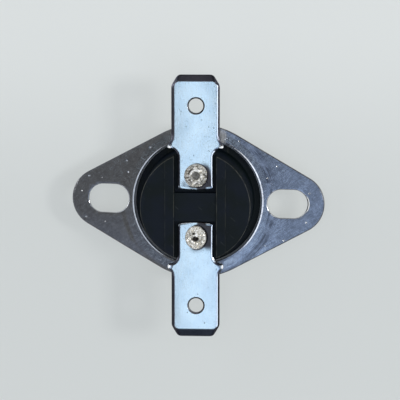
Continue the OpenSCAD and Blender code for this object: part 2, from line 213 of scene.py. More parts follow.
class Shader:
    """Node tree of a material, or of the world, written as expressions."""

    def __init__(self, owner):
        self.owner = owner
        owner.use_nodes = True
        self.tree = owner.node_tree
        self.tree.nodes.clear()

    def node(self, kind, settings=None, sockets=None, out=0):
        """Adds a node: settings first, then each socket's value or link. Gives the chosen output."""
        made = self.tree.nodes.new(kind)
        for name, value in (settings or {}).items():
            setattr(made, name, value)
        for name, value in (sockets or {}).items():
            if isinstance(value, Value):
                self.tree.links.new(value.socket, made.inputs[name])
            else:
                made.inputs[name].default_value = value
        return Value(self, made.outputs[out]) if made.outputs else made

    def place(self):
        """Position on the piece, in metres, in the part's own frame."""
        return self.node("ShaderNodeTexCoord", out="Object")

    def in_body(self):
        """Position along the terminals and across them, in millimetres."""
        across, along, _ = self.parts(self.stretched(self.place(), (MM, MM, MM), BODY_TURN))
        return across, along

    def parts(self, vector):
        """The x, y and z of a vector."""
        return [self.node("ShaderNodeSeparateXYZ", None, {"Vector": vector}, out=axis) for axis in "XYZ"]

    def vector(self, x, y):
        return self.node("ShaderNodeCombineXYZ", None, {0: x, 1: y})

    def stretched(self, vector, scale, turn=0.0):
        """A vector scaled along each axis, after a turn about Z in radians."""
        sockets = {"Vector": vector, "Rotation": (0, 0, turn), "Scale": scale}
        return self.node("ShaderNodeMapping", {"vector_type": "TEXTURE"}, sockets)

    def noise(self, vector, size_mm, detail, rough=0.55):
        """Smooth noise with features of about that size."""
        sockets = {"Vector": vector, "Scale": 1 / (size_mm * MM), "Detail": detail, "Roughness": rough}
        return self.node("ShaderNodeTexNoise", None, sockets)

    def cells(self, vector, size_mm):
        """Distance from the middle of the nearest of many cells of about that size."""
        sockets = {"Vector": vector, "Scale": 1 / (size_mm * MM)}
        return self.node("ShaderNodeTexVoronoi", None, sockets, out="Distance")

    def window(self, value, low, high, to_low=0.0, to_high=1.0):
        """Maps a value's stretch from low to high onto another stretch, smoothly and clamped."""
        sockets = {0: value, 1: low, 2: high, 3: to_low, 4: to_high}
        return self.node("ShaderNodeMapRange", {"interpolation_type": "SMOOTHSTEP"}, sockets)

    def mix(self, factor, first, second):
        """A mix of two colours."""
        sockets = {0: factor, 6: self.colour(first), 7: self.colour(second)}
        return self.node("ShaderNodeMix", {"data_type": "RGBA"}, sockets, out=2)

    @staticmethod
    def colour(value):
        return value if isinstance(value, Value) else (*value, 1)

    def bump(self, height, depth_mm, strength):
        sockets = {"Height": height, "Distance": depth_mm * MM, "Strength": strength}
        return self.node("ShaderNodeBump", None, sockets, out="Normal")

    def principled(self, **sockets):
        """A Principled surface; names use _ for the spaces in socket names."""
        named = {name.replace("_", " "): value for name, value in sockets.items()}
        return self.node("ShaderNodeBsdfPrincipled", None, named)

    def upward(self):
        """How far a face looks up: 1 on a level face, 0 on a wall."""
        normal = self.node("ShaderNodeNewGeometry", out="Normal")
        return self.node("ShaderNodeSeparateXYZ", None, {"Vector": normal}, out="Z")

    def seen(self):
        """1 for what the camera sees, straight, mirrored or through glass, and 0 for other light."""
        camera, glossy, through = (
            self.node("ShaderNodeLightPath", out=f"Is {kind} Ray") for kind in ("Camera", "Glossy", "Transmission"))
        return self.window(camera + glossy + through, 0, 1)

    def finish(self, surface):
        self.node("ShaderNodeOutputMaterial", None, {"Surface": surface})
        return self.owner

    def surface(self, **sockets):
        """The finished material with a single Principled surface."""
        return self.finish(self.principled(**sockets))


def new_finish(name):
    return Shader(bpy.data.materials.new(name))


def srgb(red, green, blue):
    """A colour given as it looks on screen, 0 to 255, as linear values."""
    def linear(value):
        value /= 255
        return value / 12.92 if value <= 0.04045 else ((value + 0.055) / 1.055) ** 2.4
    return linear(red), linear(green), linear(blue)


def plated_bracket():
    """Bright plated sheet: mottled grey, scratches and pale specks. Painted reflection: dark arcs on the pressed
    ring's right side and stronger mottle on the right. Painted shade and highlights on the edges, and scratched
    patches with a painted sheen beside the upper terminal.
    """
    sh = new_finish("plated_bracket")
    at = sh.place()
    x, y, _ = sh.parts(at)
    r = (x * x + y * y) ** 0.5
    along = 0.0004 * y.math("ARCTAN2", y, x)
    streaks = sh.noise(sh.vector(r, along), 0.16, 2)
    # Painted reflection: dark streaky arcs on the pressed ring's slope, on its right side only
    pressed = sh.window(r, 0.0092, 0.0096) * sh.window(r, 0.011, 0.0102) * sh.window(x, 0.002, 0.007)
    painted_ring_streaks = sh.window(streaks, 0.4, 0.62) * pressed * sh.window(sh.noise(at, 1.6, 1), 0.38, 0.56)
    cloud = sh.noise(at, 2.2, 4)
    mottle = sh.noise(at, 0.45, 3)
    grain = sh.noise(at, 0.13, 2)
    scratch_a = sh.noise(sh.stretched(at, (9, 0.22, 1), 0.9), 0.25, 1)
    scratch_b = sh.noise(sh.stretched(at, (9, 0.22, 1), -0.5), 0.3, 1)
    scratches = sh.window(scratch_a, 0.7, 0.76) + sh.window(scratch_b, 0.71, 0.77)
    specks = sh.window(sh.cells(at, 1.1), 0.095, 0.05) * sh.window(sh.noise(at, 1.9, 1), 0.5, 0.55)
    drawn = sh.noise(sh.stretched(at, (5, 0.35, 1), 0.6), 0.22, 2)
    shade = sh.window(0.2 * cloud + 0.25 * mottle + 0.3 * grain + 0.25 * drawn, 0.36, 0.64)
    # Painted reflection: the mottle is stronger on the right side, where the sheet mirrors the panels' edges
    mirror_mottle = sh.window(x, -0.002, 0.007, 0.6, 1.0)
    tone = sh.mix(0.5 + (shade - 0.5) * mirror_mottle, srgb(160, 161, 164), srgb(226, 227, 230))
    tone = sh.mix(0.75 * painted_ring_streaks, tone, srgb(92, 94, 100))
    # Painted shade on the edges, for the dark that they mirror
    edge_paint = sh.node("ShaderNodeAttribute", {"attribute_name": "cut_face"}, out="Fac")
    tone = sh.mix(0.85 * sh.window(edge_paint, 0, 1), tone, srgb(64, 67, 76))
    # Painted sheen on the scratched patches: pale and less metallic
    painted_sheen = 0.0
    for (spot_x, spot_y), (reach_x, reach_y), share in SHEEN_SPOTS:
        off_x, off_y = (x - spot_x * MM) / (reach_x * MM), (y - spot_y * MM) / (reach_y * MM)
        painted_sheen = painted_sheen + share * sh.window(off_x * off_x + off_y * off_y, 1.5, 0.3)
    painted_sheen = painted_sheen * sh.window(sh.noise(sh.stretched(at, (0.3, 3, 1)), 0.5, 2), 0.2, 0.6, 0.5, 1.0)
    # Below 0 the edge weight joins the specks as a painted highlight: pale and not metallic
    specks = sh.window(specks + sh.window(edge_paint, -0.2, -0.9), 0, 1)
    tone = sh.mix(0.5 * sh.window(scratches, 0, 1), tone, srgb(240, 241, 244))
    tone = sh.mix(painted_sheen, tone, srgb(206, 205, 200))
    return sh.surface(
        Base_Color=sh.mix(specks, tone, srgb(240, 240, 238)),
        Metallic=1 - 0.85 * sh.window(specks + 1.2 * painted_sheen, 0, 1),
        Roughness=0.09 + 0.06 * mottle + 0.4 * specks,
        Normal=sh.bump(0.1 * mottle + 0.06 * grain + 0.1 * scratches, 0.02, 0.5),
    )


def plated_terminal():
    """Bright plate on brass: pale blue-white flats with tiny dark specks and rolled streaks, painted shade on the
    edges and round the rivets, and painted glints on the wings' burrs.
    """
    sh = new_finish("plated_terminal")
    at = sh.place()
    cloud = sh.noise(at, 2.2, 3)
    rolled = sh.noise(sh.stretched(at, (0.25, 4, 1)), 0.3, 3)
    dashes = sh.stretched(at, (1, 1.8, 1))
    specks = sh.window(sh.cells(dashes, 0.55), 0.12, 0.06) * sh.window(sh.noise(at, 0.9, 1), 0.42, 0.56)
    pits = sh.window(sh.noise(dashes, 0.12, 2), 0.64, 0.74)
    # Painted shade on the bevels and edges, for the dark that they mirror
    edge_paint_weight = sh.node("ShaderNodeAttribute", {"attribute_name": "cut_face"}, out="Fac")
    tone = sh.mix(sh.window(0.5 * cloud + 0.5 * rolled, 0.35, 0.65), srgb(218, 229, 240), srgb(234, 241, 248))
    flat = sh.mix(sh.window(0.5 * specks + 0.22 * pits, 0, 1), tone, srgb(110, 120, 134))
    edge = sh.mix(cloud, srgb(56, 58, 68), srgb(84, 84, 92))
    # Painted shade round the rivets, with a darker painted shadow line against them
    stain = sh.node("ShaderNodeAttribute", {"attribute_name": "stain"}, out="Fac")
    flat = sh.mix(0.98 * sh.window(stain, 0, 1), flat, srgb(62, 54, 56))
    flat = sh.mix(0.9 * sh.window(stain, 1, 2), flat, srgb(24, 24, 27))
    colour = sh.mix(edge_paint_weight, flat, edge)
    height = 0.1 * cloud + 0.06 * rolled - 0.15 * specks - 0.04 * pits
    across, along = sh.in_body()
    # Painted glints on the burrs at the wings' tips: white, not metallic, on faces that look up
    burr_glint = 0.0
    for way, ((x, y), (reach_x, reach_y)) in ((1, UPPER_BURR_GLINT), (-1, LOWER_BURR_GLINT)):
        off_x, off_y = (abs(across) - x) / reach_x, (way * along - y) / reach_y
        burr_glint = burr_glint + sh.window(off_x * off_x + off_y * off_y, 1.3, 0.7)
    burr_glint = burr_glint * sh.window(sh.upward(), 0.1, 0.4)
    roughness = 0.06 + 0.06 * rolled + 0.15 * specks + 0.15 * edge_paint_weight
    return sh.surface(
        Base_Color=sh.mix(burr_glint, colour, srgb(250, 251, 252)), Metallic=1 - 0.9 * burr_glint,
        Roughness=roughness + 0.25 * burr_glint, Normal=sh.bump(height, 0.02, 0.5),
    )


def rolled_rivet():
    """Rough rolled rivet: pale silver scales, darker between them, painted shade in the bore and at the rim,
    and painted highlights.
    """
    sh = new_finish("rolled_rivet")
    at = sh.place()
    grain = sh.noise(at, 0.3, 4, 0.65)
    fine = sh.noise(at, 0.07, 2)
    # How dark the head is: darker in gaps, groove and recess, painted shade in the bore and at the rim
    dirt = sh.node("ShaderNodeAttribute", {"attribute_name": "dirt"}, out="Fac")
    # Painted glint: white and not metallic
    sliver = sh.node("ShaderNodeAttribute", {"attribute_name": "sliver"}, out="Fac")
    tone = sh.mix(sh.window(grain, 0.36, 0.6), srgb(216, 209, 190), srgb(254, 253, 249))
    return sh.surface(
        Base_Color=sh.mix(sliver, sh.mix(dirt, tone, srgb(34, 29, 23)), srgb(252, 252, 252)),
        Metallic=0.3 - 0.3 * sliver,
        Roughness=0.18 + 0.2 * grain, Normal=sh.bump(grain + 0.4 * fine, 0.03, 0.6),
    )


def moulded_phenolic():
    """Black moulded base: bluish and greenish black lands, dull walls, painted highlights on the edges and
    along the ribs, dust and scuffs.
    """
    sh = new_finish("moulded_phenolic")
    at = sh.place()
    cloud = sh.noise(at, 3.0, 3)
    grain = sh.noise(at, 0.1, 3)
    dust = sh.window(sh.cells(at, 1.3), 0.045, 0.02) * sh.window(sh.noise(at, 2.0, 1), 0.52, 0.6)
    scuffs = sh.window(sh.noise(sh.stretched(at, (8, 0.3, 1), -0.7), 0.3, 1), 0.73, 0.78)
    up = sh.upward()
    # Painted highlight on the bevelled edges of the lands
    painted_sheen = sh.window(up, 0.985, 0.93) * sh.window(up, 0.35, 0.6) * sh.window(sh.noise(at, 0.8, 3), 0.3, 0.6)
    tone = sh.mix(sh.window(cloud, 0.35, 0.65), srgb(8, 16, 18), srgb(9, 17, 27))
    colour = sh.mix(sh.window(dust + 0.4 * scuffs, 0, 1), tone, srgb(92, 96, 98))
    colour = sh.mix(0.8 * painted_sheen, colour, srgb(88, 88, 80))
    across = abs(sh.in_body()[0])
    # Painted highlight lines along the ribs' edges beside the channel, on level faces
    rib_edge_glints = sh.window(abs(across - CHANNEL_HALF - 0.04), 0.07, 0.03)
    rib_edge_glints = rib_edge_glints + 0.6 * sh.window(abs(across - CHANNEL_HALF - RIB_W), 0.07, 0.03)
    rib_edge_glints = rib_edge_glints * sh.window(up, 0.8, 0.95) * sh.window(sh.noise(at, 1.1, 3), 0.25, 0.65)
    colour = sh.mix(0.36 * rib_edge_glints, colour, srgb(86, 86, 78))
    normal = sh.bump(grain + 0.5 * scuffs, 0.01, 0.4)
    land = sh.principled(Base_Color=colour, Roughness=0.36 + 0.2 * cloud, Specular_IOR_Level=0.2, Normal=normal)
    wall = sh.principled(Base_Color=tone, Roughness=0.6 + 0.2 * cloud, Specular_IOR_Level=0.02, Normal=normal)
    level = sh.window(up, 0.3, 0.6)
    return sh.finish(sh.node("ShaderNodeMixShader", None, {0: level, 1: wall, 2: land}))


def drawn_aluminium():
    """Drawn cap: satin aluminium with rings left by the drawing tool and painted shade on its crimped lip."""
    sh = new_finish("drawn_aluminium")
    at = sh.place()
    cloud = sh.noise(at, 2.5, 4)
    drawn = sh.noise(sh.stretched(at, (4, 4, 0.2)), 0.3, 3)
    tone = sh.mix(cloud, srgb(196, 198, 200), srgb(222, 223, 224))
    # Painted shade on the crimped lip, for the shadow and the dark body that it mirrors
    lip = sh.window(sh.parts(at)[2], (LIP_Z - 0.1) * MM, (LIP_Z - 0.05) * MM)
    painted_shade = lip * sh.window(cloud, 0.2, 0.6, 0.3, 0.6)
    return sh.surface(
        Base_Color=sh.mix(painted_shade, tone, srgb(38, 38, 40)), Metallic=1.0, Roughness=0.3 + 0.15 * drawn + 0.2 * painted_shade,
        Normal=sh.bump(cloud + drawn, 0.02, 0.4),
    )


def inner_metal(name, dark, light):
    """Rolled strip inside the body: brass, bronze, silver or bimetal."""
    sh = new_finish(name)
    at = sh.place()
    cloud = sh.noise(at, 1.5, 3)
    rolled = sh.noise(sh.stretched(at, (0.3, 4, 1)), 0.2, 3)
    tone = sh.mix(cloud, dark, light)
    return sh.surface(
        Base_Color=tone, Metallic=1.0, Roughness=0.28 + 0.15 * rolled, Normal=sh.bump(rolled, 0.01, 0.4)
    )


def inner_moulding(name, dark, light):
    """Matte moulded or fired piece inside the body."""
    sh = new_finish(name)
    at = sh.place()
    cloud = sh.noise(at, 1.2, 4)
    grain = sh.noise(at, 0.12, 3)
    return sh.surface(
        Base_Color=sh.mix(cloud, dark, light), Roughness=0.5 + 0.2 * grain, Normal=sh.bump(grain, 0.01, 0.4)
    )


def finish_mesh(name, bm, material, turned=True):
    """Makes the object from a mesh in millimetres, turned with the body if asked."""
    if turned:
        bmesh.ops.rotate(bm, verts=bm.verts, cent=(0, 0, 0), matrix=Matrix.Rotation(BODY_TURN, 3, "Z"))
    bmesh.ops.scale(bm, vec=(MM, MM, MM), verts=bm.verts)
    bmesh.ops.recalc_face_normals(bm, faces=bm.faces)
    mesh = bpy.data.meshes.new(name)
    bm.to_mesh(mesh)
    bm.free()
    mesh.polygons.foreach_set("use_smooth", [True] * len(mesh.polygons))
    piece = bpy.data.objects.new(name, mesh)
    bpy.context.scene.collection.objects.link(piece)
    piece.data.materials.append(material)
    return piece


def arc(centre, radius, start, stop, steps):
    """Points of an arc about a centre, from one angle to another in degrees."""
    points = []
    for i in range(steps + 1):
        angle = math.radians(start + (stop - start) * i / steps)
        points.append(Vector(centre) + radius * Vector((math.cos(angle), math.sin(angle))))
    return points


def circle(centre, radius, steps):
    """Points of a full circle about a centre."""
    return arc(centre, radius, 0, 360, steps)[:-1]


def divided(points, step):
    """A closed loop with its long edges cut into steps; the points given stay."""
    loop = []
    for p, q in zip(points, points[1:] + points[:1]):
        count = max(1, round((q - p).length / step))
        loop += [p.lerp(q, i / count) for i in range(count)]
    return loop


def inside_loops(point, loops):
    """True if a point lies in the plate: inside the first loop and outside its holes."""
    crossings = 0
    for loop in loops:
        for p, q in zip(loop, loop[1:] + loop[:1]):
            if (p.y > point.y) != (q.y > point.y):
                if point.x < p.x + (q.x - p.x) * (point.y - p.y) / (q.y - p.y):
                    crossings += 1
    return crossings % 2 == 1


def inset_loop(loop, widths, hole):
    """Each point of a loop moved into the plate, so that every edge moves by its own width."""
    sign = -1 if hole else 1
    moved = []
    count = len(loop)
    for i, p in enumerate(loop):
        before = (p - loop[i - 1]).normalized()
        after = (loop[(i + 1) % count] - p).normalized()
        n0 = sign * Vector((-before.y, before.x))
        n1 = sign * Vector((-after.y, after.x))
        w0, w1 = widths[i - 1], widths[i]
        det = n0.x * n1.y - n0.y * n1.x
        if abs(det) < 0.12:
            n = (n0 + n1).normalized()
            shift = n * (w0 + w1) / 2
        else:
            shift = Vector((w0 * n1.y - w1 * n0.y, n0.x * w1 - n1.x * w0)) / det
        moved.append(p + shift)
    return moved


# Edge shapes: shares of width and depth from the wall to the flat, and the share of painted shade there,
# for the dark that the edge mirrors; below 0 it is a painted highlight instead
RINGS = 8
ROUND_EDGE = [
    (1 - math.cos(math.pi / 2 * i / (RINGS - 1)), 1 - math.sin(math.pi / 2 * i / (RINGS - 1)), 1 if i < 4 else 0)
    for i in range(RINGS)
]
CRISP_BEVEL = ((0, 1, 1), (0.02, 0.9, 1), (0.08, 0.83, 1), (0.86, 0.1, 1),
               (0.93, 0.04, 0.8), (0.98, 0.01, 0.3), (1.0, 0, 0), (1.08, 0, 0))
WORN_BEVEL = ((0, 1, 1), (0.03, 0.9, 1), (0.3, 0.52, 1), (0.55, 0.17, 1),
              (0.6, 0.13, 0.05), (0.88, 0.008, 0), (0.92, 0, 0), (1.0, 0, 0))
LIPPED_EDGE = ((0, 1, 1), (0.05, 0.85, 1), (0.15, 0.62, 1), (0.38, 0.24, 1),
               (0.46, 0.19, -1), (0.8, 0.02, -1), (0.88, 0, 0), (1.0, 0, 0))
NECK_BEVEL = ((0, 1, 1), (0.03, 0.75, 1), (0.08, 0.6, 1), (0.4, 0.35, 1),
              (0.7, 0.13, 1), (0.92, 0.02, 0.6), (1.0, 0, 0), (1.08, 0, 0))


def blended(first, second, share):
    """An edge shape between two others."""
    return [[a + (b - a) * share for a, b in zip(p, q)] for p, q in zip(first, second)]


class Rim:
    """Edge of a sheet: its loop, the same loop on the flat face, and at each point the depth between them,
    the edge's shape and the weight of its painted shade, which the shape turns into a painted highlight below 0."""

    def __init__(self, loop, flat, depths, shapes, edge_paint_weight):
        self.corners = list(zip(loop, flat, depths, shapes, edge_paint_weight))

    def rings(self):
        """Rings of (point, drop, painted edge light) from the wall to the flat."""
        rows = []
        for ring in range(RINGS):
            row = []
            for p, q, depth, shape, edge_paint_weight in self.corners:
                share, drop, edge_paint = shape[ring]
                row.append((p + (q - p) * share, depth * drop, edge_paint_weight * edge_paint))
            rows.append(row)
        return rows


def even_rim(loop, width, depth, hole=False, edge_paint_weight=0.0, shape=ROUND_EDGE):
    """An edge of the same width and shape all along."""
    count = len(loop)
    flat = inset_loop(loop, [width] * count, hole)
    return Rim(loop, flat, [depth] * count, [shape] * count, [edge_paint_weight] * count)


def pressed_plate(rims, inner_points, top, bottom):
    """Closed sheet-metal mesh with its outline's rim first and the rims of its holes after it. top and
    bottom give the heights of its faces. Both faces get the same edges."""
    bm = bmesh.new()
    # Painted edge light at each point: painted shade above 0, painted highlight below 0
    cut_face = bm.verts.layers.float.new("cut_face")
    rings_of = [rim.rings() for rim in rims]
    flat_loops = [[p for p, _, _ in rings[-1]] for rings in rings_of]
    flat = [p for loop in flat_loops for p in loop]
    links = []
    first = 0
    for loop in flat_loops:
        links += [(first + i, first + (i + 1) % len(loop)) for i in range(len(loop))]
        first += len(loop)
    tree = KDTree(len(flat))
    for i, p in enumerate(flat):
        tree.insert(p.to_3d(), i)
    tree.balance()
    clear = [p for p in inner_points if tree.find(p.to_3d())[2] > 0.06 and inside_loops(p, flat_loops)]
    points, _, faces, origins, _, _ = delaunay_2d_cdt(flat + clear, links, [], 1, 1e-6)
    place_of = {origin: i for i, group in enumerate(origins) for origin in group}
    middles = [sum((points[i] for i in f), Vector((0, 0))) / len(f) for f in faces]
    faces = [f for f, middle in zip(faces, middles) if inside_loops(middle, flat_loops)]
    walls = {}
    for upper in (True, False):
        def vertex(p, drop, edge_paint):
            made = bm.verts.new((p.x, p.y, top(p) - drop if upper else bottom(p) + drop))
            made[cut_face] = edge_paint
            return made
        field = [vertex(p, 0, 0) for p in points]
        for f in faces:
            bm.faces.new([field[i] for i in f])
        first = 0
        for number, rings in enumerate(rings_of):
            size = len(rings[0])
            rows = [[vertex(*corner) for corner in ring] for ring in rings[:-1]]
            rows.append([field[place_of[first + i]] for i in range(size)])
            first += size
            for low, high in zip(rows, rows[1:]):
                for i in range(size):
                    j = (i + 1) % size
                    corners = [low[i], low[j], high[j], high[i]]
                    if len(set(corners)) == 4:
                        bm.faces.new(corners)
            walls[upper, number] = rows[0]
    for number in range(len(rims)):
        low, high = walls[False, number], walls[True, number]
        for i in range(len(low)):
            j = (i + 1) % len(low)
            bm.faces.new((low[i], low[j], high[j], high[i]))
    loose = [v for v in bm.verts if not v.link_faces]
    bmesh.ops.delete(bm, geom=loose, context="VERTS")
    return bm


def eased(points, radii, steps=4):
    """A closed loop whose corners are rounded off, each by about its radius; 0 leaves a corner sharp."""
    loop = []
    count = len(points)
    for i, (corner, radius) in enumerate(zip(points, radii)):
        if not radius:
            loop.append(corner)
            continue
        start = corner + (points[i - 1] - corner).normalized() * radius
        stop = corner + (points[(i + 1) % count] - corner).normalized() * radius
        for k in range(steps + 1):
            share = k / steps
            loop.append(start.lerp(corner, share).lerp(corner.lerp(stop, share), share))
    return loop


def spot_points(centre, reach, step):
    """Rings of points round a small feature, so that the mesh can follow it."""
    points = [Vector(centre)]
    for i in range(1, int(reach / step) + 1):
        points += circle(centre, i * step, 6 * i)
    return points


# Height of an even triangle as a share of its side
TRIANGLE_HEIGHT = 0.866


def grid_points(low, high, step):
    """Rows of points, every second row shifted by half a step."""
    points = []
    rows = int((high.y - low.y) / (step * TRIANGLE_HEIGHT)) + 1
    columns = int((high.x - low.x) / step) + 2
    for j in range(rows):
        for i in range(columns):
            x = low.x + (i - 0.5 * (j % 2)) * step
            points.append(Vector((x, low.y + j * step * TRIANGLE_HEIGHT)))
    return points


def smooth_step(low, high, value):
    """Smooth rise from 0 at low to 1 at high; low may be the greater."""
    share = min(1, max(0, (value - low) / (high - low)))
    return share * share * (3 - 2 * share)


# Small dents along the bracket's edges and slots, where it was knocked about
DENTS = ((-9.6, 5.1), (-14.6, 2.9), (-6.5, 7.0), (-9.4, 3.6), (-8.9, -7.1), (-11.9, -5.5), (-14.9, -2.6),
         (9.2, 3.4), (10.4, 5.0), (14.5, -2.4), (14.8, 1.5), (5.3, 8.2), (11.6, -4.9))
DENT_R = 0.08


def dents_at(p):
    """Depth of the dents: each has one deep side and a small raised lip."""
    depth = 0
    for x, y in DENTS:
        off = p - Vector((x, y))
        if off.length < 4 * DENT_R:
            depth += (0.05 - 0.35 * off.x) * math.exp(-(off.length / DENT_R) ** 2)
    return depth


def ear_bend(p):
    """How far the ears are bent down: more on the left."""
    left, right = max(0, -p.x), max(0, p.x)
    bend = 0.02 * max(0, left - 3) + 0.025 * max(0, left - 8.5)
    return bend + 0.012 * max(0, right - 2) + 0.01 * max(0, right - 9)


def bracket_top(p):
    """Height of the bracket's upper face: bead round the hole, pressed ring, bent ears, a wave and dents."""
    r = p.length
    ring = RING_TOP_Z - RING_RAISE * smooth_step(RING_R, RING_FOOT_R, r)
    bead = BEAD_RAISE * (1 - smooth_step(0.03, 0.32, r - HOLE_R))
    wave = 0.01 * noise.noise(Vector((p.x * 0.22, p.y * 0.22, 3.1)))
    return ring + bead - ear_bend(p) + wave - dents_at(p)


def bracket_bottom(p):
    return RING_TOP_Z - BRACKET_T - RING_RAISE * smooth_step(RING_R, RING_FOOT_R, p.length) - ear_bend(p)


def bracket_plate(material):
    """Two-ear bracket with a bead round its hole and stamped edges."""
    lean = math.degrees(math.acos((WAIST_R - EAR_R) / EAR_X))
    outline = arc((EAR_X, 0), EAR_R, -lean, lean, 36)
    outline += arc((0, 0), WAIST_R, lean, 180 - lean, 40)
    outline += arc((-EAR_X, 0), EAR_R, 180 - lean, 180 + lean, 36)
    outline += arc((0, 0), WAIST_R, 180 + lean, 360 - lean, 40)
    hole = circle((0, 0), HOLE_R, HOLE_STEPS)
    # Painted shade all round the outline's edge
    edge = even_rim(divided(outline, 0.3), *BRACKET_EDGE, edge_paint_weight=1.0, shape=CRISP_BEVEL)
    count = len(hole)
    hole_flat = inset_loop(hole, [HOLE_EDGE] * count, True)
    # Painted shade on the left half of the hole's edge
    hole_edge_paint = [smooth_step(0, -0.5, p.x / HOLE_R) for p in hole]
    rims = [edge, Rim(hole, hole_flat, [2 * HOLE_EDGE] * count, [ROUND_EDGE] * count, hole_edge_paint)]
    for side in (-1, 1):
        slot = arc((side * SLOT_X + SLOT_HALF, 0), SLOT_R, -90, 90, 28)
        slot += arc((side * SLOT_X - SLOT_HALF, 0), SLOT_R, 90, 270, 28)
        slot = divided(slot, 0.25)
        end_x = side * SLOT_X + SLOT_HALF
        # Painted shade on the slots' edges, more towards the top; a painted highlight on the right slot's right end
        soft = [smooth_step(0.72, 0.97, (p.x - end_x) / SLOT_R) * (side > 0) for p in slot]
        flat = inset_loop(slot, [SLOT_EDGE + 0.2 * share for share in soft], True)
        depths = [SLOT_EDGE + 0.08 * share for share in soft]
        shapes = [blended(ROUND_EDGE, LIPPED_EDGE, share) for share in soft]
        edge_paint_weight = [max(0.35 + 0.35 * p.y / SLOT_R, 0.95 * share) for p, share in zip(slot, soft)]
        rims.append(Rim(slot, flat, depths, shapes, edge_paint_weight))
    inner = []
    reach = HOLE_R + HOLE_EDGE
    for step in RING_SPACING:
        reach += step
        inner += circle((0, 0), reach, HOLE_STEPS if step < 0.1 else RING_STEPS)
    inner += [p for p in grid_points(BRACKET_LOW.xy, BRACKET_HIGH.xy, 0.45) if p.length > reach + 0.2]
    for dent in DENTS:
        inner = [p for p in inner if (p - Vector(dent)).length > 3.5 * DENT_R]
        inner += spot_points(dent, 3 * DENT_R, 0.035)
    bm = pressed_plate(rims, inner, bracket_top, bracket_bottom)
    return finish_mesh("bracket_plate", bm, material, turned=False)


def terminal_half(neck_y, tip_bevel):
    """Right half of the upper terminal's plan, from its inner end to its tip: corners of the outline and
    of the flat face, with the radius that eases each corner."""
    half, edge = NECK_W / 2, NECK_EDGE
    end_half = half - NECK_CORNER_R
    end_r = (end_half ** 2 + NECK_BULGE ** 2) / (2 * NECK_BULGE)
    spread = math.degrees(math.asin(end_half / end_r))
    fillet = Vector((half + WING_FILLET, WING_Y - WING_FILLET))
    outer = arc((0, neck_y + end_r), end_r, -90, spread - 90, 6)
    flat = arc((0, neck_y + end_r), end_r - END_EDGE, -90, spread - 90, 6)
    corner = Vector((end_half, neck_y + NECK_BULGE + NECK_CORNER_R))
    for i, p in enumerate(arc(corner, NECK_CORNER_R, -75, 0, 6)):
        outer.append(p)
        flat.append(p + (corner - p).normalized() * (END_EDGE + (edge - END_EDGE) * i / 6))
    outer += arc(fillet, WING_FILLET, 180, 100, 14)
    flat += arc(fillet, WING_FILLET + edge, 180, 122, 14)
    radii = [0] * len(outer)
    slant = Vector((TAB_CORNER.y, TAB_CORNER.x)).normalized()
    low_rise = (slant.x * TAB_SIDE_BEVEL - TAB_CORNER_BEVEL) / slant.y
    tip_shift = (slant.y * tip_bevel - TAB_CORNER_BEVEL) / slant.x
    wing_x, tab_x, tip_x = WING_W / 2, TAB_W / 2, TAB_W / 2 - TAB_CORNER.x
    low_y = TAB_TIP_Y - TAB_CORNER.y
    corners = (
        ((wing_x, WING_Y + 0.02), (wing_x - 0.68, WING_Y + 0.2), 0.15),
        ((wing_x, WING_Y + 0.45), (wing_x - 0.52, WING_Y + 0.55), 0.2),
        ((tab_x, TAB_ROOT_Y - 0.2), (tab_x - 0.36, TAB_ROOT_Y - 0.1), 0.25),
        ((tab_x, TAB_ROOT_Y + 0.4), (tab_x - TAB_SIDE_BEVEL, TAB_ROOT_Y + 0.4), 0.2),
        ((tab_x, low_y), (tab_x - TAB_SIDE_BEVEL, low_y + low_rise), 0.3),
        ((tip_x, TAB_TIP_Y), (tip_x + tip_shift, TAB_TIP_Y - tip_bevel), 0.42),
    )
    for on_outline, on_flat, radius in corners:
        outer.append(Vector(on_outline))
        flat.append(Vector(on_flat))
        radii.append(radius)
    return outer, flat, radii


def terminal_rim(bright_side, burr_glint, neck_y, tip_bevel):
    """The terminal's edge: tab bevels with painted shade, worn softer on its bright side, and a soft edge elsewhere."""
    outer, flat, radii = terminal_half(neck_y, tip_bevel)
    loops = []
    for half, ease in ((outer, 1.0), (flat, 0.5)):
        mirrored = [Vector((-p.x, p.y)) for p in reversed(half[1:])]
        sizes = [radius * ease for radius in radii]
        loops.append(eased(half + mirrored, sizes + sizes[:0:-1]))
    outer, flat = [], []
    count = len(loops[0])
    for i in range(count):
        p, q = loops[0][i], loops[0][(i + 1) % count]
        r, s = loops[1][i], loops[1][(i + 1) % count]
        at_wing = WING_Y - 0.3 < min(p.y, q.y) < TAB_ROOT_Y
        cuts = max(1, round((q - p).length / (0.08 if at_wing else 0.3)))
        outer += [p.lerp(q, k / cuts) for k in range(cuts)]
        flat += [r.lerp(s, k / cuts) for k in range(cuts)]
    depths, shapes, edge_paint_weight = [], [], []
    for p in outer:
        tab = smooth_step(TAB_ROOT_Y - 0.5, TAB_ROOT_Y + 0.7, p.y)
        bright = p.x * bright_side > 0
        neck = smooth_step(neck_y + 0.3, neck_y + 0.7, p.y)
        depth = END_EDGE_DEPTH + (NECK_EDGE_DEPTH - END_EDGE_DEPTH) * neck
        depths.append(depth + (TAB_BEVEL_DEPTH - depth) * tab)
        tab_shape = WORN_BEVEL if p.x * bright_side > TAB_W / 2 - 0.1 else CRISP_BEVEL
        shapes.append(blended(NECK_BEVEL, tab_shape, tab))
        # Painted shade: full on tab, wings and the neck's dark side, faint elsewhere, none at the inner end and burrs
        edge_paint = p.y > WING_Y - 0.3 or (p.y > neck_y + 0.5 and not bright)
        from_burr = (Vector((abs(p.x), p.y)) - Vector(burr_glint[0])).length
        at_end = smooth_step(0.7, 0.4, p.y - neck_y)
        edge_paint_weight.append((1 if edge_paint else 0.2 * (1 - at_end)) * smooth_step(0.15, 0.4, from_burr))
    return Rim(outer, flat, depths, shapes, edge_paint_weight)


